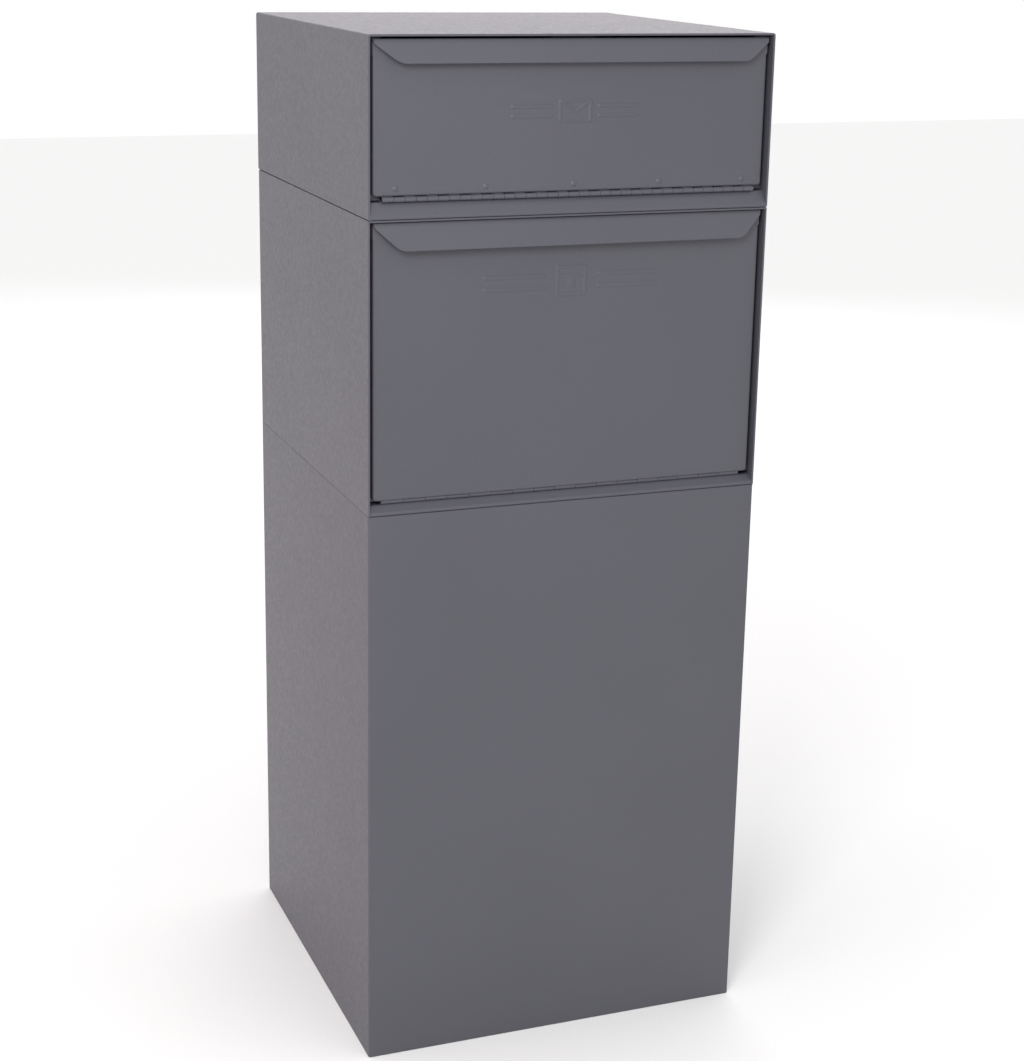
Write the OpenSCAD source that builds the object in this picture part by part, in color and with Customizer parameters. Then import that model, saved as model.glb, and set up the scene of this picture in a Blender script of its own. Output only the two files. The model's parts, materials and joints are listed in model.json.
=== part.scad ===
// Pedestal mail and parcel vault. Millimetres, +Z up, front faces -Y.
// The origin is the centre of the anchor bolt pattern, on the pad that the vault stands on.

/* [Overall] */
// Width of every unit
body_w = 420; // [380:5:520]
// Depth of every unit, without the finger lips
body_d = 420; // [400:5:520]
// Height of the pedestal, from the pad to the first seam
pedestal_h = 592; // [500:1:720]
// Height of the package unit, between the seams
package_h = 290; // [275:1:350]
// Height of the mail unit, from the second seam to the top
mail_h = 172; // [160:1:220]

/* [Sheet metal] */
// Thickness of the shells and the hood
shell_t = 2; // [1.5:0.5:3]
// Thickness of the doors, sills, ramp and hopper
door_t = 1.6; // [1.2:0.1:2]
// Thickness of the base plate
base_t = 2.5; // [2:0.5:4]
// Inside radius of every bend
bend_r = 0.5; // [0.5:0.1:1]
// Width of the flanges that join the units
flange_w = 14; // [13:1:18]

/* [Front doors] */
// Gap between a door's edge and the shell beside it
door_gap = 4; // [3:0.5:5]
// Depth of the door face behind the front plane
door_recess = 5; // [4.5:0.5:6]
// Depth of a door pan's side flanges
door_flange = 8; // [6:0.5:8]
// Angle of a finger lip from the vertical
lip_angle = 26; // [22:1:30]
// Height of the mail door's finger lip
mail_lip_h = 22; // [18:1:26]
// Height of the package door's finger lip
package_lip_h = 26; // [20:1:30]
// How far a lip's lower corner is cut in from the door's edge
lip_cut = 24; // [15:1:30]
// How far the pictograms stand out of the doors
badge_h = 0.8; // [0.5:0.1:1.2]
// Depth of a sill's crest behind the front plane
sill_depth = 8; // [7:0.5:10]
// Height of the mail sill's crest above its seam
mail_sill_h = 16.5; // [14:0.5:20]
// Height of the package sill's crest above its seam
package_sill_h = 10; // [9:0.5:12]

/* [Hinges] */
// Outside radius of a hinge barrel
barrel_r = 2.5; // [2.2:0.1:2.6]
// Radius of a hinge pin
pin_r = 1.25; // [1:0.05:1.3]
// Running clearance around a hinge pin
pin_fit = 0.05; // [0.02:0.01:0.1]
// Thickness of a hinge leaf
leaf_t = 1; // [0.8:0.1:1.1]
// Length of the mail and package hinges
hinge_w = 390; // [300:5:390]
// Number of knuckles on the mail hinge
mail_knuckles = 35; // [15:2:41]
// Number of knuckles on the package and rear hinges
plain_knuckles = 17; // [9:2:21]

/* [Hopper] */
// How far the hopper swings open
hopper_swing = 55; // [40:1:58]
// Slope of the hopper tray when the door is shut
tray_slope = 22; // [18:1:25]
// Radius of the hopper cheeks about the hinge
cheek_r = 252; // [220:1:254]
// Distance of each cheek's outer face from the middle
cheek_x = 190; // [170:1:190]

/* [Mail unit] */
// How far the mail door swings open
mail_swing = 90; // [70:1:90]
// Slope of the mail ramp
ramp_slope = 25; // [20:1:28]
// Width of the drop slot behind the mail ramp
drop_slot = 96; // [70:1:110]
// Radius of the door stays about the mail hinge
stay_r = 60; // [50:1:62]

/* [Rear door] */
// Height of the rear sill rail
rear_sill_h = 44; // [35:1:60]
// Height of the rear header rail
rear_header_h = 44; // [35:1:60]
// Width of the frame beside the rear door
jamb_w = 20.5; // [18:0.5:30]
// Gap around the rear door, except at its hinge
rear_gap = 3; // [2.5:0.5:4]
// Distance of the lock's axis from the rear door's free edge
lock_inset = 26.5; // [24:0.5:30]
// Height of the lock's axis
lock_z = 300; // [200:1:400]

/* [Fasteners] */
// Distance of the anchor holes from the middle, each way
anchor_pos = 150; // [100:1:160]
// Radius of the anchor holes
anchor_r = 7; // [5:0.5:9]
// Radius of the stack bolts and the base studs
bolt_r = 3; // [2.5:0.5:4]
// Clearance around a bolt in its hole
bolt_fit = 0.4; // [0.2:0.1:0.6]
// Radius of the rivets
rivet_r = 1.6; // [1.2:0.1:2]

/* [Hidden] */
$fn = 48;
bend_steps = 6;
join = 0.5;
soft_gap = 0.3;
seat_gap = 0.4;
fillet_room = 0.1;
reach = 1000;

front = -body_d / 2;
rear = body_d / 2;
half_w = body_w / 2;
inner_w = half_w - shell_t;
inner_rear = rear - shell_t;
flange_x = inner_w - flange_w;
seam_1 = pedestal_h;
seam_2 = pedestal_h + package_h;
top = seam_2 + mail_h;

// Doors, shared by both front units
door_half = inner_w - door_gap;
door_face = front + door_recess;
door_back = door_face + door_t;
flange_end = door_face + door_flange;
jamb_y = flange_end + 1;
jamb_back = jamb_y + door_t;
jamb_x = flange_x;
jamb_leg = 16;
corner_r = 4;
sill_edge = 3.5;
sill_flange = 18;
sill_flat = 18;
leaf_w = 18;
leaf_clear = barrel_r + 0.4;
knuckle_gap = 0.4;
bore_r = pin_r + pin_fit;

mail_crest = seam_2 + mail_sill_h;
mail_door_z = mail_crest + 2 * barrel_r + seat_gap;
mail_door_top = top - shell_t - 2.2;
mail_axis = [door_back + leaf_t - barrel_r, mail_crest + barrel_r];
mail_rivet_z = mail_axis[1] + 10;
mail_rivet_pitch = 91;

package_crest = seam_1 + package_sill_h;
package_door_z = package_crest + 4;
package_door_top = seam_2 - door_t - 0.6;
package_axis = [door_back + barrel_r, package_crest + barrel_r];
header_back = jamb_y + 2.6;
header_low = seam_2 - 20;

// Hopper
cheek_in = cheek_x - door_t;
tray_in = cheek_in - door_t;
tray_y = door_back + leaf_t + door_t;
tray_z = package_axis[1] + 11.5;
tray_len = cheek_r + 1;
tray_side = 16;
tray_lip = 16;
ear_r = cheek_r - 12;
ear_len = 14;
ear_stop = jamb_back - package_axis[0] + door_t / 2 + seat_gap;
ear_angle = acos(ear_stop / (ear_r - ear_len)) - hopper_swing;
bumper_x = 120;
bumper_r = 6;

// Mail ramp
ramp_front = front + sill_depth + 4;
ramp_bend = front + 26;
ramp_top = mail_crest - door_t;
ramp_low = ramp_top - door_t;
ramp_rear = inner_rear - drop_slot - door_t;
ramp_drop = (ramp_rear - ramp_bend) * tan(ramp_slope);
ramp_x = flange_x - 2;
lip_z = seam_2 + shell_t;
lip_front = front + 70;
lip_rear = rear - 40;
ramp_lip_x = inner_w - 1;
baffle_y = package_axis[0] + (cheek_r + 4) * cos(36);
baffle_z = package_axis[1] + (cheek_r + 4) * sin(36) + 4;

// Door stays
stay_w = 6;
stay_x = door_half - door_t;
stay_stop = jamb_back - mail_axis[0] + door_t / 2 + seat_gap;
stay_ear = [stay_r - stay_w / 2 + 1, stay_r + stay_w / 2 - 1];
stay_end = acos(stay_stop / stay_ear[0]) - mail_swing;
stay_start = 84;
stay_tab = 30;

// Rear door
jamb_in = half_w - jamb_w;
jamb_depth = 24;
jamb_edge = rear - jamb_depth;
rear_low = rear_sill_h;
rear_high = pedestal_h - rear_header_h;
rear_face = rear - door_recess;
rear_back = rear_face - door_t;
rear_flange = 15;
rear_axis = [-jamb_in + barrel_r, rear_face + 2.3];
rear_left = rear_axis[0] + barrel_r;
rear_right = jamb_in - rear_gap;
rear_bottom = rear_low + rear_gap + 0.5;
rear_top = rear_high - rear_gap - 0.5;
rear_hinge_w = rear_top - rear_bottom - 16;
rear_mid = (rear_top + rear_bottom) / 2;
stop_y = jamb_edge - door_t;
stop_lip = 10;
seal_w = 7;
seal_t = rear_face - rear_flange - soft_gap - stop_y;
rear_rivet_pitch = rear_hinge_w / 6;

// Lock
lock_x = rear_right - lock_inset;
lock_r = 9.5;
plug_r = 6;
lock_fit = 0.08;
lock_face = rear_face + 2.5;
lock_tail = jamb_edge - 0.5;
cam_t = 2;
cam_len = 34;
tail_w = 6;

// Fasteners
stack_x = inner_w - 7;
stack_front = -110;
stack_rear = 150;
bolt_head_r = 5.77;
bolt_head_h = 4;
nut_h = 5;
stud_pos = 120;
stud_z = 14;
base_flange = 25;
rivet_head_r = 3;
rivet_head_h = 1.2;
rivet_fit = 0.05;

sheet_colour = "slategray";
metal_colour = "silver";
rubber_colour = "dimgray";
brass_colour = "goldenrod";

// ---- Paths and profiles ----

function unit(v) = v / norm(v);
function left_of(v) = [-v[1], v[0]];
function turned(v, a) = [v[0] * cos(a) - v[1] * sin(a), v[0] * sin(a) + v[1] * cos(a)];
function reversed(p) = [for (i = [len(p) - 1:-1:0]) p[i]];

// Where a corner of a path goes when the path moves sideways by t
function mitre(a, b, c, t) =
    let (n = left_of(unit(b - a)), m = left_of(unit(c - b)))
    b + (n + m) * t / (1 + n * m);

function moved_path(p, t) = [
    for (i = [0:len(p) - 1])
        i == 0 ? p[0] + left_of(unit(p[1] - p[0])) * t
        : i == len(p) - 1 ? p[i] + left_of(unit(p[i] - p[i - 1])) * t
        : mitre(p[i - 1], p[i], p[i + 1], t)
];

// The points of an arc of radius r that rounds the corner b
function corner_arc(a, b, c, r) =
    let (u = unit(b - a), w = unit(c - b))
    let (side = cross(u, w) > 0 ? 1 : -1, sweep = acos(u * w))
    let (centre = b - u * r * tan(sweep / 2) + left_of(u) * side * r)
    [for (k = [0:bend_steps]) centre + turned(-left_of(u) * side * r, side * sweep * k / bend_steps)];

// A path with its corners rounded: left turns by r_left, right turns by r_right
function bent_path(p, r_left, r_right) = [
    for (i = [0:len(p) - 1])
        each (i == 0 || i == len(p) - 1) ? [p[i]]
            : corner_arc(p[i - 1], p[i], p[i + 1],
                cross(p[i] - p[i - 1], p[i + 1] - p[i]) > 0 ? r_left : r_right)
];

// The section of a sheet of thickness t, folded along a path that is its right-hand face
function folded(path, t) = concat(
    bent_path(path, bend_r + t, bend_r),
    reversed(bent_path(moved_path(path, t), bend_r, bend_r + t))
);

module block(x, y, z) {
    translate([x[0], y[0], z[0]])
        cube([x[1] - x[0], y[1] - y[0], z[1] - z[0]]);
}

// A section drawn in Y and Z, carried across X
module across_x(x0, x1) {
    translate([x0, 0, 0])
        rotate([90, 0, 90])
            linear_extrude(x1 - x0)
                children();
}

// A section drawn in X and Z, carried along Y
module along_y(y0, y1) {
    translate([0, y1, 0])
        rotate([90, 0, 0])
            linear_extrude(y1 - y0)
                children();
}

module both_sides() {
    children();
    mirror([1, 0, 0])
        children();
}

module rod_x(x0, x1, y, z, r) {
    translate([x0, y, z])
        rotate([0, 90, 0])
            cylinder(h = x1 - x0, r = r);
}

module rod_y(x, y0, y1, z, r, sides = 48) {
    translate([x, y1, z])
        rotate([90, 0, 0])
            cylinder(h = y1 - y0, r = r, $fn = sides);
}

module rod_z(x, y, z0, z1, r, sides = 48) {
    translate([x, y, z0])
        cylinder(h = z1 - z0, r = r, $fn = sides);
}

// A domed rivet head on the plane z = 0
module rivet_head() {
    sphere_r = (rivet_head_r * rivet_head_r + rivet_head_h * rivet_head_h) / (2 * rivet_head_h);
    intersection() {
        translate([0, 0, rivet_head_h - sphere_r])
            sphere(r = sphere_r);
        cylinder(h = rivet_head_h, r = rivet_head_r);
    }
}

// A rivet through a grip, standing along +Z with its head at the top
module rivet(grip) {
    translate([0, 0, -grip - 1])
        cylinder(h = grip + 1 + 0.1, r = rivet_r - rivet_fit);
    translate([0, 0, -grip - 1])
        cylinder(h = 1, r = rivet_r + 0.8);
    rivet_head();
}

// ---- Hinges ----

// One leaf of a piano hinge along X: the plate stands up behind the barrel
module hinge_leaf(width, knuckles, first, plate_w) {
    pitch = width / knuckles;
    difference() {
        union() {
            block([-width / 2, width / 2], [barrel_r - leaf_t, barrel_r], [leaf_clear, plate_w]);
            for (i = [first:2:knuckles - 1]) {
                x0 = -width / 2 + i * pitch + knuckle_gap / 2;
                x1 = x0 + pitch - knuckle_gap;
                rod_x(x0, x1, 0, 0, barrel_r);
                block([x0, x1], [barrel_r - leaf_t, barrel_r], [0, leaf_clear + 0.1]);
            }
        }
        rod_x(-width / 2 - 1, width / 2 + 1, 0, 0, bore_r);
    }
}

module hinge_pin(width) {
    rod_x(-width / 2, width / 2, 0, 0, pin_r);
}

module at_axis(axis) {
    translate([0, axis[0], axis[1]])
        children();
}

module at_rear_axis() {
    translate([rear_axis[0], rear_axis[1], rear_mid])
        rotate([0, 90, -90])
            children();
}

// ---- Front doors ----

// A pan: skin, side flanges and the finger lip folded out and down at its top
module door_pan(low, fold_top, lip_h) {
    outer_r = bend_r + door_t;
    vertex = fold_top + outer_r / tan(lip_angle / 2) - outer_r;
    tip_z = fold_top - lip_h;
    tip_y = door_back - (vertex - tip_z) * tan(lip_angle);
    flange_top = fold_top - 16;
    cut_top = fold_top - 4;
    cut = [[door_half, cut_top], [door_half - lip_cut, tip_z], [0, tip_z]];
    difference() {
        union() {
            translate([0, 0, low])
                linear_extrude(flange_top - low)
                    polygon(folded([
                        [-door_half, flange_end], [-door_half, door_face],
                        [door_half, door_face], [door_half, flange_end]
                    ], door_t));
            across_x(-door_half, door_half)
                polygon(folded([
                    [door_back, flange_top - join], [door_back, vertex], [tip_y, tip_z]
                ], door_t));
        }
        both_sides()
            along_y(front - 50, door_face - 0.01)
                polygon(concat(
                    bent_path(cut, 6, 6),
                    [[0, tip_z - 5], [door_half + 5, tip_z - 5], [door_half + 5, cut_top]]
                ));
        both_sides()
            along_y(door_face - 1, flange_end + 1)
                difference() {
                    translate([door_half - corner_r, low - 1])
                        square([corner_r + 1, corner_r + 1]);
                    translate([door_half - corner_r, low + corner_r])
                        circle(r = corner_r);
                }
    }
}

// Raised shapes on a door, drawn in X and Z
module raised() {
    along_y(door_face - badge_h, door_face + 0.3)
        children();
}

module bar(x0, z, length, thick) {
    translate([x0, z])
        square([length, thick]);
}

// An envelope between bars
module envelope_badge(z) {
    w = 34;
    h = 22;
    line = 2.4;
    raised() {
        difference() {
            translate([-w / 2, z])
                square([w, h]);
            translate([-w / 2 + line, z + line])
                square([w - 2 * line, h - 2 * line]);
        }
        polygon([
            [-w / 2 + line, z + h - line], [0, z + h / 2 - line], [w / 2 - line, z + h - line],
            [w / 2 - line, z + h], [0, z + h / 2 + 1], [-w / 2 + line, z + h]
        ]);
        for (side = [-1, 1])
            for (row = [0, 1])
                bar(side > 0 ? 24 : -66, z + 5 + row * 9, 42, 3.2);
    }
}

// A parcel between bars
module parcel_badge(z) {
    w = 32;
    h = 30;
    line = 2.6;
    raised() {
        difference() {
            translate([-w / 2, z])
                square([w, h]);
            translate([-w / 2 + line, z + line])
                square([w - 2 * line, h * 0.62 - line]);
            translate([-w / 2 + line, z + h * 0.62 + line])
                square([w - 2 * line, h * 0.38 - 2 * line]);
        }
        bar(-3.5, z + 9, 7, h * 0.62 - 8);
        for (side = [-1, 1])
            for (row = [0, 1])
                bar(side > 0 ? 28 : -92, z + 7 + row * 12, 64, 3.6);
    }
}

// Rivet positions across the mail hinge
module at_mail_rivets() {
    for (i = [-2:2])
        translate([i * mail_rivet_pitch, 0, mail_rivet_z])
            rotate([90, 0, 0])
                children();
}

module mail_door_pan() {
    color(sheet_colour)
        difference() {
            union() {
                door_pan(mail_door_z, mail_door_top, mail_lip_h);
                envelope_badge(mail_door_z + 66);
            }
            at_mail_rivets()
                cylinder(h = reach, r = rivet_r, center = true);
        }
}

module package_door_pan() {
    color(sheet_colour)
        union() {
            door_pan(package_door_z, package_door_top, package_lip_h);
            parcel_badge(package_door_z + 195);
        }
}

// ---- Pedestal ----

module stack_holes(z) {
    for (x = [-stack_x, stack_x])
        for (y = [stack_front, stack_rear])
            rod_z(x, y, z - 20, z + 20, bolt_r + bolt_fit);
}

// Where the base plate's flanges are fixed to the shell, with +Z pointing inward
module at_studs() {
    for (t = [-stud_pos, stud_pos]) {
        translate([-inner_w, t, stud_z])
            rotate([0, 90, 0])
                children();
        translate([inner_w, t, stud_z])
            rotate([0, -90, 0])
                children();
        translate([t, front + shell_t, stud_z])
            rotate([-90, 0, 0])
                children();
    }
}

// Rivets through the rear frame's left jamb and the hinge leaf on it, heads towards -X
module at_frame_rivets() {
    for (i = [-2.5:1:2.5])
        translate([-jamb_in - shell_t, jamb_edge + 9, rear_mid + i * rear_rivet_pitch])
            rotate([0, -90, 0])
                children();
}

module pedestal_shell() {
    color(sheet_colour)
        difference() {
            union() {
                linear_extrude(pedestal_h)
                    polygon(folded([
                        [-jamb_in, jamb_edge], [-jamb_in, rear], [-half_w, rear], [-half_w, front],
                        [half_w, front], [half_w, rear], [jamb_in, rear], [jamb_in, jamb_edge]
                    ], shell_t));
                block([-inner_w - join, inner_w + join], [front + shell_t - join, front + shell_t + sill_flange],
                    [seam_1 - shell_t, seam_1]);
                both_sides()
                    block([flange_x, inner_w + join], [front + shell_t, jamb_edge - 6],
                        [seam_1 - shell_t, seam_1]);
            }
            stack_holes(seam_1);
            at_frame_rivets()
                cylinder(h = 20, r = rivet_r, center = true);
        }
}

module base_plate() {
    color(sheet_colour)
        difference() {
            union() {
                block([-inner_w, inner_w], [front + shell_t, inner_rear], [0, base_t]);
                both_sides()
                    block([inner_w - base_t, inner_w], [front + shell_t, jamb_edge - 6], [0, base_flange]);
                block([-inner_w, inner_w], [front + shell_t, front + shell_t + base_t], [0, base_flange]);
            }
            for (x = [-anchor_pos, anchor_pos])
                for (y = [-anchor_pos, anchor_pos])
                    rod_z(x, y, -1, base_t + 1, anchor_r);
            at_studs()
                cylinder(h = base_flange, r = bolt_r + bolt_fit);
            both_sides() {
                block([jamb_in - shell_t, half_w], [jamb_edge - 1, rear], [-1, base_t + 1]);
                block([inner_w - bend_r - fillet_room, half_w],
                    [front, front + shell_t + bend_r + fillet_room], [-1, base_flange + 1]);
            }
        }
}

module base_studs() {
    color(metal_colour)
        at_studs()
            cylinder(h = base_t + nut_h + 3, r = bolt_r);
}

module base_nuts() {
    color(metal_colour)
        at_studs()
            translate([0, 0, base_t])
                difference() {
                    cylinder(h = nut_h, r = bolt_head_r, $fn = 6);
                    translate([0, 0, -1])
                        cylinder(h = nut_h + 2, r = bolt_r + rivet_fit);
                }
}

module rear_header() {
    color(sheet_colour)
        across_x(-jamb_in + shell_t + 1, jamb_in - shell_t - 1)
            polygon(folded([
                [stop_y, rear_high - stop_lip], [stop_y, rear_high], [inner_rear + shell_t, rear_high],
                [inner_rear + shell_t, seam_1], [jamb_edge, seam_1]
            ], door_t));
}

module rear_sill() {
    color(sheet_colour)
        across_x(-jamb_in + shell_t + 1, jamb_in - shell_t - 1)
            polygon(folded([
                [jamb_edge, base_t], [inner_rear + shell_t, base_t], [inner_rear + shell_t, rear_low],
                [stop_y, rear_low], [stop_y, rear_low + stop_lip]
            ], door_t));
}

module rear_door_seals() {
    color(rubber_colour) {
        block([-jamb_in + 12, jamb_in - 12], [stop_y, stop_y + seal_t], [rear_high - 8 - seal_w, rear_high - 8]);
        block([-jamb_in + 12, jamb_in - 12], [stop_y, stop_y + seal_t], [rear_low + 3, rear_low + 3 + seal_w]);
    }
}

module rear_hinge_frame_leaf() {
    color(metal_colour)
        difference() {
            mirror_about_rear_axis()
                at_rear_axis()
                    hinge_leaf(rear_hinge_w, plain_knuckles, 1, leaf_w);
            at_frame_rivets()
                cylinder(h = 20, r = rivet_r, center = true);
        }
}

module mirror_about_rear_axis() {
    translate([2 * rear_axis[0], 0, 0])
        mirror([1, 0, 0])
            children();
}

module rear_hinge_pin() {
    color(metal_colour)
        at_rear_axis()
            hinge_pin(rear_hinge_w);
}

module rear_frame_rivets() {
    color(metal_colour)
        at_frame_rivets() {
            translate([0, 0, -shell_t - leaf_t])
                cylinder(h = shell_t + leaf_t + 0.1, r = rivet_r - rivet_fit);
            rivet_head();
        }
}

// ---- Rear door ----

// Rivets through the door pan's hinge flange and the leaf on it, heads towards +X
module at_door_rivets() {
    for (i = [-2.5:1:2.5])
        translate([rear_left + door_t, rear_face - 9, rear_mid + i * rear_rivet_pitch])
            rotate([0, 90, 0])
                children();
}

module rear_door_pan() {
    inner_edge = rear_face - rear_flange;
    color(sheet_colour)
        difference() {
            union() {
                translate([0, 0, rear_bottom])
                    linear_extrude(rear_top - rear_bottom)
                        polygon(folded([
                            [rear_right, inner_edge], [rear_right, rear_face],
                            [rear_left, rear_face], [rear_left, inner_edge]
                        ], door_t));
                block([rear_left + 1, rear_right - 1], [inner_edge, rear_back + join],
                    [rear_bottom, rear_bottom + door_t]);
                block([rear_left + 1, rear_right - 1], [inner_edge, rear_back + join],
                    [rear_top - door_t, rear_top]);
            }
            rod_y(lock_x, rear_back - 5, rear_face + 5, lock_z, lock_r + lock_fit);
            at_door_rivets()
                cylinder(h = 20, r = rivet_r, center = true);
        }
}

module rear_door_stiffener() {
    web = 24;
    lap = 16;
    depth = 11;
    mid = (rear_left + rear_right) / 2;
    color(sheet_colour)
        translate([0, 0, rear_bottom + 24])
            linear_extrude(rear_top - rear_bottom - 48)
                polygon(folded([
                    [mid + web + lap, rear_back], [mid + web, rear_back],
                    [mid + web - depth / 2, rear_back - depth], [mid - web + depth / 2, rear_back - depth],
                    [mid - web, rear_back], [mid - web - lap, rear_back]
                ], door_t));
}

module rear_hinge_door_leaf() {
    color(metal_colour)
        difference() {
            at_rear_axis()
                hinge_leaf(rear_hinge_w, plain_knuckles, 0, leaf_w);
            at_door_rivets()
                cylinder(h = 20, r = rivet_r, center = true);
        }
}

module rear_door_rivets() {
    color(metal_colour)
        at_door_rivets() {
            translate([0, 0, -door_t - leaf_t])
                cylinder(h = door_t + leaf_t + 0.1, r = rivet_r - rivet_fit);
            rivet_head();
        }
}

module lock_body() {
    color(metal_colour)
        difference() {
            union() {
                rod_y(lock_x, rear_face, lock_face, lock_z, lock_r + 2.5);
                rod_y(lock_x, jamb_edge + 1, rear_face + 0.1, lock_z, lock_r);
            }
            rod_y(lock_x, jamb_edge, lock_face + 1, lock_z, plug_r + lock_fit);
        }
}

module lock_nut() {
    color(metal_colour)
        difference() {
            rod_y(lock_x, rear_back - 4, rear_back, lock_z, 13.8, 6);
            rod_y(lock_x, rear_back - 5, rear_back + 1, lock_z, lock_r + rivet_fit);
        }
}

module lock_plug() {
    color(brass_colour)
        difference() {
            union() {
                rod_y(lock_x, jamb_edge + 1, lock_face - 0.3, lock_z, plug_r);
                block([lock_x - tail_w / 2, lock_x + tail_w / 2], [lock_tail - cam_t, jamb_edge + 1.1],
                    [lock_z - tail_w / 2, lock_z + tail_w / 2]);
            }
            block([lock_x - 0.7, lock_x + 0.7], [lock_face - 9, lock_face + 1], [lock_z - 4, lock_z + 4]);
        }
}

module lock_cam() {
    color(metal_colour)
        difference() {
            union() {
                rod_y(lock_x, lock_tail - cam_t, lock_tail, lock_z, 8);
                block([lock_x - 6, lock_x + 6], [lock_tail - cam_t, lock_tail], [lock_z, lock_z + cam_len]);
            }
            block([lock_x - tail_w / 2 - rivet_fit, lock_x + tail_w / 2 + rivet_fit],
                [lock_tail - cam_t - 1, lock_tail + 1],
                [lock_z - tail_w / 2 - rivet_fit, lock_z + tail_w / 2 + rivet_fit]);
        }
}

module lock_screw() {
    color(metal_colour)
        rod_y(lock_x, lock_tail - cam_t - 3, lock_tail - cam_t, lock_z, 5);
}

// ---- Stack bolts ----

module stack_bolts(z, grip) {
    for (x = [-stack_x, stack_x])
        for (y = [stack_front, stack_rear]) {
            rod_z(x, y, z, z + bolt_head_h, bolt_head_r, 6);
            rod_z(x, y, z - grip - nut_h - 2, z + 0.1, bolt_r);
        }
}

module stack_nuts(z) {
    for (x = [-stack_x, stack_x])
        for (y = [stack_front, stack_rear])
            difference() {
                rod_z(x, y, z - nut_h, z, bolt_head_r, 6);
                rod_z(x, y, z - nut_h - 1, z + 1, bolt_r + rivet_fit);
            }
}

module pedestal_stack_bolts() {
    color(metal_colour)
        stack_bolts(seam_1 + shell_t, 2 * shell_t);
}

module pedestal_stack_nuts() {
    color(metal_colour)
        stack_nuts(seam_1 - shell_t);
}

module mail_stack_bolts() {
    color(metal_colour)
        stack_bolts(lip_z + door_t, 2 * shell_t + door_t);
}

module mail_stack_nuts() {
    color(metal_colour)
        stack_nuts(seam_2 - shell_t);
}

// ---- Package unit ----

module package_shell() {
    color(sheet_colour)
        difference() {
            union() {
                translate([0, 0, seam_1])
                    linear_extrude(package_h)
                        polygon(folded([
                            [half_w, front], [half_w, rear], [-half_w, rear], [-half_w, front]
                        ], shell_t));
                for (z = [seam_1, seam_2 - shell_t])
                    both_sides()
                        block([flange_x, inner_w + join], [front + shell_t + sill_flange + 2, inner_rear + join],
                            [z, z + shell_t]);
                block([-inner_w, inner_w], [inner_rear - flange_w, inner_rear + join],
                    [seam_2 - shell_t, seam_2]);
            }
            stack_holes(seam_1);
            stack_holes(seam_2);
        }
}

module package_sill() {
    color(sheet_colour)
        across_x(-inner_w, inner_w)
            polygon(folded([
                [front + sill_depth + sill_flat, seam_1 + door_t + 1],
                [front + sill_depth + sill_flat, package_crest],
                [front + sill_depth, package_crest], [front, seam_1 + sill_edge], [front, seam_1],
                [front + sill_flange, seam_1]
            ], door_t));
}

module package_header() {
    color(sheet_colour)
        difference() {
            across_x(-inner_w, inner_w)
                polygon(folded([[header_back, header_low], [header_back, seam_2], [front, seam_2]], door_t));
            at_bumpers()
                cylinder(h = 40, r = 2.5, center = true);
        }
}

// Jamb strip on the +X side: a stop face and a leg along the shell
module jamb(low, high) {
    block([jamb_x, inner_w], [jamb_y, jamb_back], [low, high]);
    block([inner_w - door_t, inner_w], [jamb_y, jamb_y + jamb_leg], [low, high]);
}

module package_jamb_right() {
    color(sheet_colour)
        jamb(package_crest + 2, header_low - 2);
}

module package_jamb_left() {
    color(sheet_colour)
        mirror([1, 0, 0])
            jamb(package_crest + 2, header_low - 2);
}

module package_hinge_frame_leaf() {
    color(metal_colour)
        at_axis(package_axis)
            rotate([-90, 0, 0])
                hinge_leaf(hinge_w, plain_knuckles, 1, leaf_w);
}

module package_hinge_pin() {
    color(metal_colour)
        at_axis(package_axis)
            hinge_pin(hinge_w);
}

module at_bumpers() {
    for (x = [-bumper_x, bumper_x])
        translate([x, header_back - door_t, (header_low + package_door_top) / 2])
            rotate([90, 0, 0])
                children();
}

module hopper_bumpers() {
    color(rubber_colour)
        at_bumpers() {
            cylinder(h = header_back - door_t - door_back - soft_gap, r = bumper_r);
            translate([0, 0, -door_t - 1])
                cylinder(h = door_t + 1.1, r = 2.4);
        }
}

// ---- Hopper ----

module on_tray() {
    translate([0, tray_y, tray_z])
        rotate([-tray_slope, 0, 0])
            children();
}

module at_hopper_rivets() {
    both_sides()
        on_tray()
            for (y = [60:65:190])
                translate([tray_in, y, 9])
                    rotate([0, -90, 0])
                        children();
}

module hopper_tray() {
    color(sheet_colour)
        difference() {
            union() {
                on_tray() {
                    block([-cheek_in, cheek_in], [0, tray_len], [-door_t, 0]);
                    both_sides()
                        block([tray_in, cheek_in], [20, tray_len - 6], [-door_t, tray_side]);
                }
                block([-tray_in, tray_in], [tray_y - door_t, tray_y], [tray_z - door_t, tray_z + tray_lip]);
            }
            at_hopper_rivets()
                cylinder(h = 20, r = rivet_r, center = true);
        }
}

// Cheek on the +X side: a quarter disc about the hinge with a flange on the door and a stop ear
module cheek() {
    slope = tan(tray_slope);
    difference() {
        union() {
            across_x(cheek_in, cheek_x)
                intersection() {
                    translate(package_axis)
                        circle(r = cheek_r, $fn = 96);
                    polygon([
                        [door_back, tray_z + 24], [door_back + 8, tray_z - 2 - 8 * slope],
                        [tray_y + 320, tray_z - 2 - 320 * slope], [tray_y + 320, seam_2],
                        [door_back, seam_2]
                    ]);
                }
            block([cheek_in, cheek_x + 11], [door_back, door_back + door_t],
                [tray_z + 26, package_axis[1] + cheek_r - 6]);
            at_axis(package_axis)
                rotate([ear_angle, 0, 0])
                    block([cheek_x - join, cheek_x + 10], [ear_r - ear_len, ear_r], [-door_t / 2, door_t / 2]);
        }
        at_hopper_rivets()
            cylinder(h = 20, r = rivet_r, center = true);
    }
}

module hopper_cheek_right() {
    color(sheet_colour)
        cheek();
}

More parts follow.
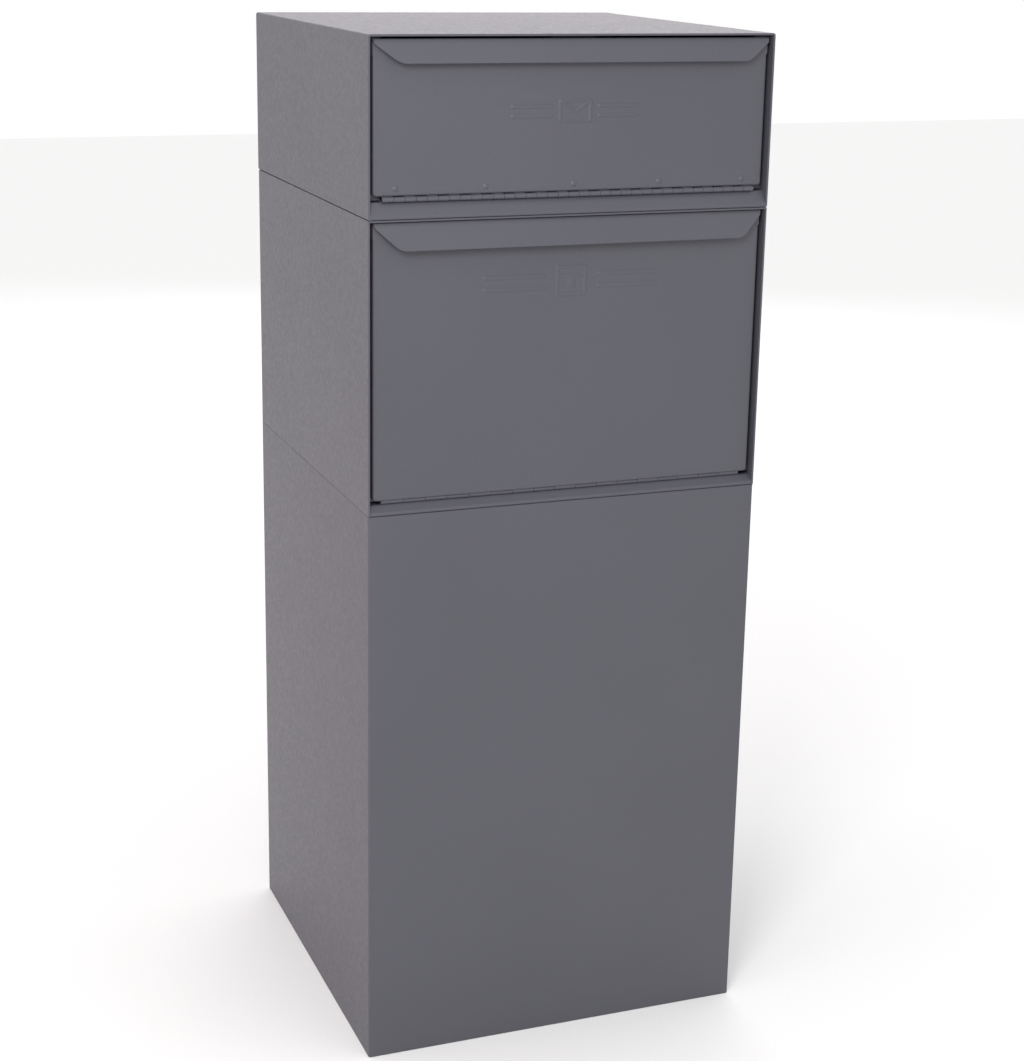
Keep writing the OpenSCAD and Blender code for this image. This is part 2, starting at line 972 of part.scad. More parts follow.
module hopper_cheek_left() {
    color(sheet_colour)
        mirror([1, 0, 0])
            cheek();
}

module package_hinge_door_leaf() {
    color(metal_colour)
        at_axis(package_axis)
            mirror([0, 1, 0])
                hinge_leaf(hinge_w, plain_knuckles, 0, leaf_w + 2);
}

module hopper_rivets() {
    color(metal_colour)
        at_hopper_rivets()
            rivet(2 * door_t);
}

// ---- Mail unit ----

module at_back_rivets() {
    for (x = [-inner_w + 7, inner_w - 7])
        for (z = [lip_z + 26, top - 26])
            translate([x, rear, z])
                rotate([-90, 0, 0])
                    children();
    translate([0, rear, top - 10])
        rotate([-90, 0, 0])
            children();
}

module mail_hood() {
    color(sheet_colour)
        difference() {
            union() {
                along_y(front, rear)
                    polygon(folded([
                        [flange_x, seam_2], [half_w, seam_2], [half_w, top],
                        [-half_w, top], [-half_w, seam_2], [-flange_x, seam_2]
                    ], shell_t));
                both_sides()
                    block([flange_x, inner_w + join], [inner_rear, rear], [seam_2, top - 1]);
                block([-inner_w, inner_w], [inner_rear, rear], [top - 18, top - 1]);
                block([-inner_w, inner_w], [inner_rear, rear], [seam_2, seam_2 + flange_w]);
            }
            both_sides()
                block([flange_x - 1, inner_w], [front - 1, front + shell_t + sill_flange],
                    [seam_2 - 1, lip_z + 0.1]);
            stack_holes(seam_2);
            at_back_rivets()
                cylinder(h = 10, r = rivet_r, center = true);
        }
}

module mail_back_panel() {
    color(sheet_colour)
        difference() {
            block([-inner_w, inner_w], [inner_rear - door_t, inner_rear],
                [lip_z, top - shell_t - bend_r - fillet_room]);
            at_back_rivets()
                cylinder(h = 10, r = rivet_r, center = true);
        }
}

module mail_back_rivets() {
    color(metal_colour)
        at_back_rivets()
            rivet(shell_t + door_t);
}

module mail_sill() {
    color(sheet_colour)
        across_x(-inner_w, inner_w)
            polygon(folded([
                [front + sill_depth + sill_flat + 2, mail_crest], [front + sill_depth, mail_crest],
                [front, seam_2 + sill_edge], [front, seam_2], [front + sill_flange, seam_2]
            ], door_t));
}

// Floor of the mail unit: it slopes to the drop slot and hangs from lips on the side flanges
module mail_ramp() {
    path = [
        [ramp_front, ramp_low], [ramp_bend, ramp_low], [ramp_rear, ramp_low - ramp_drop],
        [ramp_rear, ramp_low - ramp_drop - 12]
    ];
    color(sheet_colour)
        difference() {
            union() {
                across_x(-ramp_x, ramp_x)
                    polygon(folded(path, door_t));
                both_sides() {
                    across_x(ramp_x - door_t, ramp_x)
                        polygon([
                            [ramp_bend + 30, lip_z + door_t], path[1] + [30, 0.5 - 30 * tan(ramp_slope)],
                            path[2] + [0, 0.5], [ramp_rear, lip_z + door_t]
                        ]);
                    block([ramp_x - door_t, ramp_lip_x], [lip_front, lip_rear], [lip_z, lip_z + door_t]);
                }
            }
            stack_holes(seam_2);
        }
}

module anti_fishing_baffle() {
    under = ramp_low - (baffle_y - ramp_bend) * tan(ramp_slope) - door_t / cos(ramp_slope);
    color(sheet_colour)
        across_x(-cheek_in, cheek_in)
            polygon(folded([
                [baffle_y, baffle_z], [baffle_y, under],
                [baffle_y + 16, under - 16 * tan(ramp_slope)]
            ], door_t));
}

module mail_jamb() {
    difference() {
        jamb(mail_crest + 1, top - shell_t - bend_r - fillet_room);
        block([stay_x - door_t - 0.7, stay_x + 0.7], [jamb_y - 1, jamb_back + 1],
            [mail_axis[1] + stay_r - 6, mail_axis[1] + stay_r + 5]);
    }
}

module mail_jamb_right() {
    color(sheet_colour)
        mail_jamb();
}

module mail_jamb_left() {
    color(sheet_colour)
        mirror([1, 0, 0])
            mail_jamb();
}

module mail_hinge_frame_leaf() {
    color(metal_colour)
        at_axis(mail_axis)
            rotate([-90, 0, 0])
                hinge_leaf(hinge_w, mail_knuckles, 1, leaf_w);
}

module mail_hinge_pin() {
    color(metal_colour)
        at_axis(mail_axis)
            hinge_pin(hinge_w);
}

module catch_housing() {
    color(rubber_colour)
        difference() {
            block([-22, 22], [jamb_y, jamb_y + 22], [top - shell_t - 13, top - shell_t]);
            block([-17, 17], [jamb_y - 1, jamb_y + 14], [top - shell_t - 10, top - shell_t - 4]);
        }
}

module catch_magnet() {
    color(metal_colour)
        block([-17, 17], [door_back + 1.5 + seat_gap, jamb_y + 14], [top - shell_t - 10, top - shell_t - 4]);
}

module mail_bumpers() {
    color(rubber_colour)
        both_sides()
            rod_y(stay_x - door_t - 4, door_back + soft_gap, jamb_y, top - 50, 3);
}

module mail_hinge_door_leaf() {
    color(metal_colour)
        difference() {
            at_axis(mail_axis)
                hinge_leaf(hinge_w, mail_knuckles, 0, leaf_w);
            at_mail_rivets()
                cylinder(h = reach, r = rivet_r, center = true);
        }
}

module mail_hinge_rivets() {
    color(metal_colour)
        at_mail_rivets()
            translate([0, 0, -door_face])
                rivet(door_t + leaf_t);
}

// Quadrant stays: each slides through its jamb and its ear stops the door
module mail_door_stays() {
    color(metal_colour)
        both_sides() {
            across_x(stay_x - door_t, stay_x)
                translate(mail_axis)
                    difference() {
                        circle(r = stay_r + stay_w / 2, $fn = 96);
                        circle(r = stay_r - stay_w / 2, $fn = 96);
                        polygon([
                            [0, 0], reach * [cos(stay_start), sin(stay_start)], [0, reach],
                            [-reach, reach], [-reach, -reach], [reach, -reach],
                            reach * [cos(stay_end), sin(stay_end)]
                        ]);
                    }
            block([stay_x - door_t, stay_x], [door_back + bend_r + fillet_room, flange_end],
                [mail_axis[1] + stay_r - stay_tab, mail_axis[1] + stay_r - 1]);
            at_axis(mail_axis)
                rotate([stay_end, 0, 0])
                    block([stay_x - door_t - 6, stay_x], stay_ear, [-door_t / 2, door_t / 2]);
        }
}

module catch_strike() {
    color(metal_colour)
        block([-20, 20], [door_back, door_back + 1.5], [top - shell_t - 14, top - shell_t - 3]);
}

pedestal_shell();
base_plate();
base_studs();
base_nuts();
rear_header();
rear_sill();
rear_door_seals();
rear_hinge_frame_leaf();
rear_hinge_pin();
rear_frame_rivets();
rear_door_pan();
rear_door_stiffener();
rear_hinge_door_leaf();
rear_door_rivets();
lock_body();
lock_nut();
lock_plug();
lock_cam();
lock_screw();
pedestal_stack_bolts();
pedestal_stack_nuts();
mail_stack_bolts();
mail_stack_nuts();
package_shell();
package_sill();
package_header();
package_jamb_left();
package_jamb_right();
package_hinge_frame_leaf();
package_hinge_pin();
hopper_bumpers();
package_door_pan();
hopper_tray();
hopper_cheek_left();
hopper_cheek_right();
package_hinge_door_leaf();
hopper_rivets();
mail_hood();
mail_back_panel();
mail_back_rivets();
mail_sill();
mail_ramp();
anti_fishing_baffle();
mail_jamb_left();
mail_jamb_right();
mail_hinge_frame_leaf();
mail_hinge_pin();
catch_housing();
catch_magnet();
mail_bumpers();
mail_door_pan();
mail_hinge_door_leaf();
mail_hinge_rivets();
mail_door_stays();
catch_strike();
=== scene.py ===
"""Looks of the pedestal mail and parcel vault: folded sheet steel under a baked powder coat.

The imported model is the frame. The shells and door pans are rebuilt here as smooth folded sheets,
and every other part keeps its shape and gets its finish.
"""

import json
import math

import bmesh
import bpy
import numpy as np
from bpy.props import FloatProperty, FloatVectorProperty, PointerProperty
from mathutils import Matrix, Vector


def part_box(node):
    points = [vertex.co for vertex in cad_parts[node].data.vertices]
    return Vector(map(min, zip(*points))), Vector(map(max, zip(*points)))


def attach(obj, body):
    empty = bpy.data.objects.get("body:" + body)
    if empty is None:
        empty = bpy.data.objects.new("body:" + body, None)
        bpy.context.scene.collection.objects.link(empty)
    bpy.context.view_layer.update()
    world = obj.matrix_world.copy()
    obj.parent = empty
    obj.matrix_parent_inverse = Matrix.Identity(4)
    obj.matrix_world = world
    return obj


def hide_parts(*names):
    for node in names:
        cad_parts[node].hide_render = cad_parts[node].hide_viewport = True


bl_info = {
    "name": "Mail and Parcel Vault",
    "version": (1, 0, 0),
    "blender": (4, 5, 0),
    "location": "View3D > Sidebar > Vault",
    "description": "Builds the visible sheets, finishes and studio of a mail and parcel vault",
    "category": "Object",
}

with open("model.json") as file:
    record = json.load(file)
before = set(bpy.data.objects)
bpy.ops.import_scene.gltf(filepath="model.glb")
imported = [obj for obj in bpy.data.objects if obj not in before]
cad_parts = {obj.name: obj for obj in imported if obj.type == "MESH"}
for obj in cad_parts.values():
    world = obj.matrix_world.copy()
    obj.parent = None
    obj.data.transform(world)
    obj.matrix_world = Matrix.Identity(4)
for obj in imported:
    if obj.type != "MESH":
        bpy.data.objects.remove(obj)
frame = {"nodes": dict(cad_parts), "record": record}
NODES = frame["nodes"]
SLOTS = {row["node"]: row["material_slot"] for row in frame["record"]["subparts"]}
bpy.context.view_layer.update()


def box(node):
    """Lowest and highest corner of a CAD node as arrays, in metres."""
    low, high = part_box(node)
    return np.array(low), np.array(high)


# ---- Sizes, in metres ----

MM = 0.001
BEND_STEPS = 10
SHELL_T = 2.0 * MM
SHEET_T = 1.6 * MM
SHELL_BEND = 2.5 * MM
SHEET_BEND = 2.1 * MM

PEDESTAL_LOW, PEDESTAL_HIGH = box("pedestal_shell")
PACKAGE_LOW, PACKAGE_HIGH = box("package_shell")
HOOD_LOW, HOOD_HIGH = box("mail_hood")
HALF_W = float(HOOD_HIGH[0])
FRONT = float(PEDESTAL_LOW[1])
REAR = float(PEDESTAL_HIGH[1])
INNER_W = HALF_W - SHELL_T
INNER_REAR = REAR - SHELL_T

# The units' flanges run in from the walls by this width, to this distance from the middle.
FLANGE_W = 14 * MM
FLANGE_X = INNER_W - FLANGE_W
# A sill's flange lies on the unit below as far back as this.
SILL_BACK = FRONT + SHELL_T + 18 * MM
# The pedestal's rear jambs: how near the middle they come and how far they turn in.
JAMB_X = HALF_W - 20.5 * MM
JAMB_EDGE = REAR - 24 * MM

# Both doors stand 5 mm back from the shells' fronts, and their sides turn back by 8 mm. The
# frame's values are single precision, so the face is rounded to a micrometre.
DOOR_FACE = round(FRONT + 5 * MM, 6)
DOOR_FLANGE = 8 * MM
DOOR_CORNER = 4 * MM
# Under a door's top, where its skin ends and the sheet of its fold and lip takes over.
FOLD_DROP = 16 * MM
LIP_CORNER = 5 * MM
# The lip's cut ends start this far under the fold's top, and its grid has so many rows.
LIP_START = 4 * MM
LIP_ROWS = 12

# Spacing of a door's grid at its badge, and the plain border that is drawn as finely.
BADGE_STEP = 0.6 * MM
BADGE_BORDER = 4 * MM

# Softened edges of the doors' sheets and of the parts that keep their shape.
DOOR_EDGE = 0.25 * MM
PART_EDGE = 0.2 * MM


# ---- Colour and nodes ----


def linear(hex_colour):
    """sRGB hex to linear RGBA."""
    value = np.array([int(hex_colour[i : i + 2], 16) for i in (1, 3, 5)]) / 255
    line = np.where(value <= 0.04045, value / 12.92, ((value + 0.055) / 1.055) ** 2.4)
    return (*line.tolist(), 1.0)


def shade(colour, factor):
    """A linear colour brightened by a factor, as sRGB hex."""
    value = np.minimum(np.array(colour) * factor, 1)
    curved = np.where(value <= 0.0031308, value * 12.92, 1.055 * value ** (1 / 2.4) - 0.055)
    return "#%02x%02x%02x" % tuple(np.rint(255 * curved).astype(int))


def add(tree, kind, settings=None, inputs=None):
    """Adds a node. An input given as a socket is linked, anything else is set as its value."""
    node = tree.nodes.new(kind)
    for name, value in (settings or {}).items():
        setattr(node, name, value)
    for name, value in (inputs or {}).items():
        if isinstance(value, bpy.types.NodeSocket):
            tree.links.new(value, node.inputs[name])
        else:
            node.inputs[name].default_value = value
    return node


def new_material(name):
    """An empty material with its shader, output and the object coordinates in millimetres."""
    material = bpy.data.materials.new(name)
    material.use_nodes = True
    tree = material.node_tree
    tree.nodes.clear()
    shader = add(tree, "ShaderNodeBsdfPrincipled")
    add(tree, "ShaderNodeOutputMaterial", inputs={"Surface": shader.outputs[0]})
    place = add(tree, "ShaderNodeTexCoord")
    scale = add(
        tree,
        "ShaderNodeMapping",
        inputs={"Vector": place.outputs["Object"], "Scale": (1000, 1000, 1000)},
    )
    return material, tree, shader, scale.outputs[0]


# Most of a noise's values lie in this range, which its maps start from.
NOISE_RANGE = {"From Min": 0.3, "From Max": 0.7}


# ---- Finishes ----


def powder_coat(name, shades, rough):
    """Polyester powder coat, sprayed and baked: satin, with a fine pebble and a slow orange peel."""
    material, tree, shader, where = new_material(name)
    # Pebble of baked powder, about 0.5 mm; drawn at 1.1 mm so that it shows.
    pebble = add(
        tree,
        "ShaderNodeTexNoise",
        inputs={"Vector": where, "Scale": 1 / 1.1, "Detail": 3.0, "Roughness": 0.6},
    ).outputs[0]
    # Orange peel from the melt flowing, 4 mm.
    peel = add(
        tree, "ShaderNodeTexNoise", inputs={"Vector": where, "Scale": 1 / 4, "Detail": 1.0}
    ).outputs[0]
    # Film that is thicker in places, 160 mm: the shade drifts slowly.
    drift = add(
        tree, "ShaderNodeTexNoise", inputs={"Vector": where, "Scale": 1 / 160, "Detail": 1.0}
    ).outputs[0]
    between = add(
        tree, "ShaderNodeMapRange", inputs={**NOISE_RANGE, "Value": drift, "To Min": 0.0, "To Max": 1.0}
    )
    tone = add(
        tree,
        "ShaderNodeMix",
        {"data_type": "RGBA"},
        {"Factor": between.outputs[0], "A": linear(shades[0]), "B": linear(shades[1])},
    )
    # Fine speckle of pigment over the pebble.
    speck = add(
        tree, "ShaderNodeMapRange", inputs={**NOISE_RANGE, "Value": pebble, "To Min": 0.93, "To Max": 1.06}
    ).outputs[0]
    grey = add(tree, "ShaderNodeCombineColor", inputs={"Red": speck, "Green": speck, "Blue": speck})
    coat = add(
        tree,
        "ShaderNodeMix",
        {"data_type": "RGBA", "blend_type": "MULTIPLY"},
        {"Factor": 1.0, "A": tone.outputs["Result"], "B": grey.outputs[0]},
    )
    gloss = add(
        tree,
        "ShaderNodeMapRange",
        inputs={**NOISE_RANGE, "Value": peel, "To Min": rough - 0.05, "To Max": rough + 0.05},
    )
    coarse = add(tree, "ShaderNodeBump", inputs={"Height": peel, "Strength": 0.25, "Distance": 0.05 * MM})
    fine = add(
        tree,
        "ShaderNodeBump",
        inputs={"Height": pebble, "Strength": 0.22, "Distance": 0.03 * MM, "Normal": coarse.outputs[0]},
    )
    tree.links.new(coat.outputs["Result"], shader.inputs["Base Color"])
    tree.links.new(gloss.outputs[0], shader.inputs["Roughness"])
    tree.links.new(fine.outputs[0], shader.inputs["Normal"])
    shader.inputs["IOR"].default_value = 1.5
    return material


def plated(name, hex_colour, rough, grain_mm):
    """Plated or drawn steel: bright, with fine drawing lines along x."""
    material, tree, shader, where = new_material(name)
    lines = add(tree, "ShaderNodeMapping", inputs={"Vector": where, "Scale": (0.05, 1.0, 1.0)})
    grain = add(
        tree,
        "ShaderNodeTexNoise",
        inputs={"Vector": lines.outputs[0], "Scale": 1 / grain_mm, "Detail": 3.0},
    ).outputs[0]
    # Cloudiness of the plating, 9 mm.
    cloud = add(tree, "ShaderNodeTexNoise", inputs={"Vector": where, "Scale": 1 / 9}).outputs[0]
    dull = add(
        tree, "ShaderNodeMapRange", inputs={**NOISE_RANGE, "Value": cloud, "To Min": 0.0, "To Max": 0.35}
    )
    tone = add(
        tree,
        "ShaderNodeMix",
        {"data_type": "RGBA"},
        {"Factor": dull.outputs[0], "A": linear(hex_colour), "B": linear("#8c8c90")},
    )
    gloss = add(
        tree,
        "ShaderNodeMapRange",
        inputs={**NOISE_RANGE, "Value": grain, "To Min": rough - 0.06, "To Max": rough + 0.08},
    )
    drawn = add(tree, "ShaderNodeBump", inputs={"Height": grain, "Strength": 0.25, "Distance": 0.01 * MM})
    tree.links.new(tone.outputs["Result"], shader.inputs["Base Color"])
    tree.links.new(gloss.outputs[0], shader.inputs["Roughness"])
    tree.links.new(drawn.outputs[0], shader.inputs["Normal"])
    shader.inputs["Metallic"].default_value = 1.0
    return material


def matte_moulding(name, hex_colour, rough, grain_mm):
    """Moulded rubber or plastic: dark, matte, with the mould's fine grain."""
    material, tree, shader, where = new_material(name)
    grain = add(tree, "ShaderNodeTexNoise", inputs={"Vector": where, "Scale": 1 / grain_mm}).outputs[0]
    # Bloom that rises to the surface in patches, 12 mm.
    bloom = add(tree, "ShaderNodeTexNoise", inputs={"Vector": where, "Scale": 1 / 12}).outputs[0]
    patch = add(
        tree, "ShaderNodeMapRange", inputs={**NOISE_RANGE, "Value": bloom, "To Min": 0.0, "To Max": 0.4}
    )
    tone = add(
        tree,
        "ShaderNodeMix",
        {"data_type": "RGBA"},
        {"Factor": patch.outputs[0], "A": linear(hex_colour), "B": linear("#3a3a3c")},
    )
    gloss = add(
        tree,
        "ShaderNodeMapRange",
        inputs={**NOISE_RANGE, "Value": grain, "To Min": rough - 0.05, "To Max": rough + 0.08},
    )
    skin = add(tree, "ShaderNodeBump", inputs={"Height": grain, "Strength": 0.4, "Distance": 0.04 * MM})
    tree.links.new(tone.outputs["Result"], shader.inputs["Base Color"])
    tree.links.new(gloss.outputs[0], shader.inputs["Roughness"])
    tree.links.new(skin.outputs[0], shader.inputs["Normal"])
    return material


def floor_paper(name):
    """Seamless paper sweep: plain, pale and matte, with a fibre too fine to see."""
    material, tree, shader, where = new_material(name)
    # Fibre, 3 mm.
    fibre = add(tree, "ShaderNodeTexNoise", inputs={"Vector": where, "Scale": 1 / 3}).outputs[0]
    between = add(
        tree, "ShaderNodeMapRange", inputs={**NOISE_RANGE, "Value": fibre, "To Min": 0.0, "To Max": 1.0}
    )
    tone = add(
        tree,
        "ShaderNodeMix",
        {"data_type": "RGBA"},
        {"Factor": between.outputs[0], "A": linear("#f4f4f4"), "B": linear("#f7f7f6")},
    )
    tree.links.new(tone.outputs["Result"], shader.inputs["Base Color"])
    shader.inputs["Roughness"].default_value = 0.9
    return material


# ---- Shapes ----


def rounded(path, radius):
    """An open outline with its corners turned into arcs, and its left-hand normals.

    Each corner is cut where the arc touches both lines, radius times the tangent of half the
    turn before and after it, and the arc's points turn evenly about its centre.
    """
    path = np.asarray(path, float)
    points, normals = [], []
    for i, here in enumerate(path):
        if i in (0, len(path) - 1):
            along = path[1] - path[0] if i == 0 else path[-1] - path[-2]
            along = along / np.linalg.norm(along)
            points.append(here[None])
            normals.append(np.array([[-along[1], along[0]]]))
            continue
        before = (here - path[i - 1]) / np.linalg.norm(here - path[i - 1])
        after = (path[i + 1] - here) / np.linalg.norm(path[i + 1] - here)
        side = math.copysign(1, before[0] * after[1] - before[1] * after[0])
        turn = math.acos(float(np.clip(before @ after, -1, 1)))
        left = np.array([-before[1], before[0]])
        centre = here - before * radius * math.tan(turn / 2) + left * side * radius
        angle = side * turn * np.linspace(0, 1, BEND_STEPS + 1)
        cos, sin = np.cos(angle), np.sin(angle)
        facing = np.stack([left[0] * cos - left[1] * sin, left[0] * sin + left[1] * cos], 1)
        points.append(centre - facing * side * radius)
        normals.append(facing)
    return np.concatenate(points), np.concatenate(normals)


def grid_faces(rows, columns, start=0):
    """Quads of a grid of rows by columns vertices."""
    corner = (np.arange(rows - 1)[:, None] * columns + np.arange(columns - 1)).ravel() + start
    return np.stack([corner, corner + 1, corner + columns + 1, corner + columns], 1)


def build(name, grids, material, thickness=None, flip=False, edge=DOOR_EDGE):
    """One mesh from several grids of points, with its doubles merged.

    A grid is rows by columns by three. A thickness gives the sheet its inner face behind the
    outer one, and a small bevel takes the sharpness off its cut edges.
    """
    points, faces, start = [], [], 0
    for grid in grids:
        rows, columns = grid.shape[:2]
        points.append(grid.reshape(-1, 3))
        faces.append(grid_faces(rows, columns, start))
        start += rows * columns
    faces = np.concatenate(faces)
    if flip:
        faces = faces[:, ::-1]
    mesh = bpy.data.meshes.new(name)
    mesh.from_pydata(np.concatenate(points).tolist(), [], faces.tolist())
    work = bmesh.new()
    work.from_mesh(mesh)
    bmesh.ops.remove_doubles(work, verts=work.verts, dist=0.01 * MM)
    bmesh.ops.dissolve_degenerate(work, edges=work.edges, dist=0.005 * MM)
    work.to_mesh(mesh)
    work.free()
    mesh.shade_smooth()
    piece = bpy.data.objects.new(name, mesh)
    bpy.context.scene.collection.objects.link(piece)
    piece.data.materials.append(material)
    if thickness:
        solid = piece.modifiers.new("sheet", "SOLIDIFY")
        solid.thickness = thickness
        solid.offset = -1
        solid.use_even_offset = True
        solid.use_quality_normals = True
        soften(piece, edge, 50).harden_normals = True
    return piece


def soften(piece, width, sharper_than):
    """A small bevel on the edges that turn by more than so many degrees."""
    bevel = piece.modifiers.new("edges", "BEVEL")
    bevel.width = width
    bevel.segments = 2
    bevel.limit_method = "ANGLE"
    bevel.angle_limit = math.radians(sharper_than)
    return bevel


def carried(outline, ends, order):
    """An outline carried straight from one end to the other.

    order says which of X, Y and Z the outline's two axes and the ends' axis go to.
    """
    grid = np.empty((len(outline), 2, 3))
    grid[..., order[0]] = outline[:, None, 0]
    grid[..., order[1]] = outline[:, None, 1]
    grid[..., order[2]] = ends
    return grid


def plane(corner, across, up):
    """A flat grid of one face, from a corner along two edges."""
    share = np.array([0.0, 1.0])
    return (
        np.asarray(corner)
        + share[:, None, None] * np.asarray(across)
        + share[None, :, None] * np.asarray(up)
    )


def ledge(x, y, z):
    """A level flange's upper face between two x and two y values."""
    return plane((x[0], y[0], z), (x[1] - x[0], 0, 0), (0, y[1] - y[0], 0))


def side_ledges(y, z):
    """The two level flanges along a unit's side walls, between two y values."""
    return [ledge(x, y, z) for x in ((-INNER_W, -FLANGE_X), (FLANGE_X, INNER_W))]


def returns(low, high, near, far, level):
    """Four flat returns of an upright frame at one y level, each mitred into the next.

    low and high are the frame's outer corners in x and z. Each return lies between two insets
    from the frame's outline, and an edge at an inset is shorter by the inset at both ends.
    """
    (x0, z0), (x1, z1) = low, high
    corners = np.array([(x0, z0), (x0, z1), (x1, z1), (x1, z0), (x0, z0)])
    inward = np.array([(1, 0), (0, -1), (-1, 0), (0, 1)])
    grids = []
    for start, end, side in zip(corners[:-1], corners[1:], inward):
        run = (end - start) / np.linalg.norm(end - start)
        edges = [(start + (side + run) * inset, end + (side - run) * inset) for inset in (near, far)]
        flat = np.array(edges)
        grids.append(np.stack([flat[..., 0], np.full((2, 2), level), flat[..., 1]], -1))
    return grids


# ---- Badges: distances outside a shape, negative inside it ----


def box_distance(x, z, centre, half, corner=0.0):
    """Distance outside a rectangle with rounded corners, negative inside it."""
    dx = np.abs(x - centre[0]) - half[0] + corner
    dz = np.abs(z - centre[1]) - half[1] + corner
    outside = np.hypot(np.maximum(dx, 0), np.maximum(dz, 0))
    return outside + np.minimum(np.maximum(dx, dz), 0) - corner


def line_distance(x, z, start, end, half):
    """Distance outside a round-ended line of half-width half."""
    ax, az = start
    bx, bz = end[0] - ax, end[1] - az
    t = np.clip(((x - ax) * bx + (z - az) * bz) / (bx * bx + bz * bz), 0, 1)
    return np.hypot(x - ax - t * bx, z - az - t * bz) - half


def bars(x, z, first, length, rows, half):
    """Nearest distance to round-ended bars at both sides."""
    found = np.full(np.broadcast(x, z).shape, 1.0)
    for side in (-1, 1):
        for row in rows:
            ends = (side * first, row), (side * (first + length), row)
            found = np.minimum(found, line_distance(x, z, *ends, half))
    return found


def envelope(x, z, low):
    """Distance to the envelope pictogram: a frame, its flap's two lines and two bars each side."""
    outer = box_distance(x, z, (0, low + 11 * MM), (17 * MM, 11 * MM), 2 * MM)
    frame_line = np.abs(outer + 1.2 * MM) - 1.2 * MM
    tip = (0, low + 10 * MM)
    flap = np.minimum(
        line_distance(x, z, (-15 * MM, low + 20.5 * MM), tip, 1.1 * MM),
        line_distance(x, z, (15 * MM, low + 20.5 * MM), tip, 1.1 * MM),
    )
    side = bars(x, z, 25.6 * MM, 38.8 * MM, (low + 6.6 * MM, low + 15.6 * MM), 1.6 * MM)
    return np.minimum(np.minimum(frame_line, flap), side)


def parcel(x, z, low):
    """Distance to the parcel pictogram: a box, its lid line, its tape and two bars each side."""
    outer = box_distance(x, z, (0, low + 15 * MM), (16 * MM, 15 * MM), 1.5 * MM)
    frame_line = np.abs(outer + 1.3 * MM) - 1.3 * MM
    lid_z = low + 19.9 * MM
    lid = line_distance(x, z, (-14 * MM, lid_z), (14 * MM, lid_z), 1.3 * MM)
    tape = box_distance(x, z, (0, low + 14.5 * MM), (3.5 * MM, 5.5 * MM), 0.8 * MM)
    side = bars(x, z, 29.8 * MM, 60.4 * MM, (low + 8.8 * MM, low + 20.8 * MM), 1.8 * MM)
    return np.minimum(np.minimum(np.minimum(frame_line, lid), tape), side)


def pressed(distance, height):
    """Height of an embossed shape: full inside, then an even S down to nothing outside."""
    shoulder = 0.45 * MM
    share = np.clip(0.5 - distance / (2 * shoulder), 0, 1)
    return height * share * share * (3 - 2 * share)


# ---- Door sheets ----


def skin_grid(half, low, top, across, badge, badge_low, badge_high, height):
    """A door's skin: a grid of x against z, with its edges rolled back and its badge raised.

    The sides roll back into flanges by a quarter turn, the bottom edge rolls back by another,
    and each row is narrowed by what a circle cuts off the lower corners. The badge's height is
    taken off y.
    """
    inner = half - SHEET_BEND
    flange_y = DOOR_FACE + DOOR_FLANGE
    roll = np.linspace(0, math.pi / 2, BEND_STEPS + 1)
    side_x = SHEET_BEND * np.sin(roll)
    side_y = SHEET_BEND * (1 - np.cos(roll))
    # Columns: left flange, left roll, skin, right roll, right flange.
    column_x = np.concatenate([[-half], -inner - side_x[::-1], across, inner + side_x, [half]])
    column_y = DOOR_FACE + np.concatenate(
        [[DOOR_FLANGE], side_y[::-1], np.zeros(len(across)), side_y, [DOOR_FLANGE]]
    )
    # Rows: the bottom roll, the rounded corners, then the flat with the badge's fine rows.
    roll = np.linspace(0, math.pi / 2, 6)
    flat = np.linspace(DOOR_CORNER, top - low, 9)[1:]
    fine = np.arange(badge_low - BADGE_BORDER, badge_high + BADGE_BORDER, BADGE_STEP) - low
    rise = np.concatenate(
        [
            SHEET_BEND * (1 - np.cos(roll)),
            np.linspace(SHEET_BEND, DOOR_CORNER, 5)[1:],
            np.unique(np.concatenate([flat, fine])),
        ]
    )
    setback = np.zeros(len(rise))
    setback[: len(roll)] = SHEET_BEND * (1 - np.sin(roll))
    short = np.clip(DOOR_CORNER - rise, 0, DOOR_CORNER)
    narrow = DOOR_CORNER - np.sqrt(DOOR_CORNER**2 - short**2)
    x = column_x[:, None] * (1 - narrow / half)
    y = np.minimum(column_y[:, None] + setback, flange_y)
    z = np.broadcast_to(low + rise, x.shape)
    return np.stack([x, y - pressed(badge(x, z, badge_low), height), z], -1)


def close_up(run, rows):
    """A run of points whose last step is split into rows that close up towards its end."""
    share = 1 - (1 - np.linspace(0, 1, rows + 1)[1:, None]) ** 2
    return np.concatenate([run[:-1], run[-2] + share * (run[-1] - run[-2])])


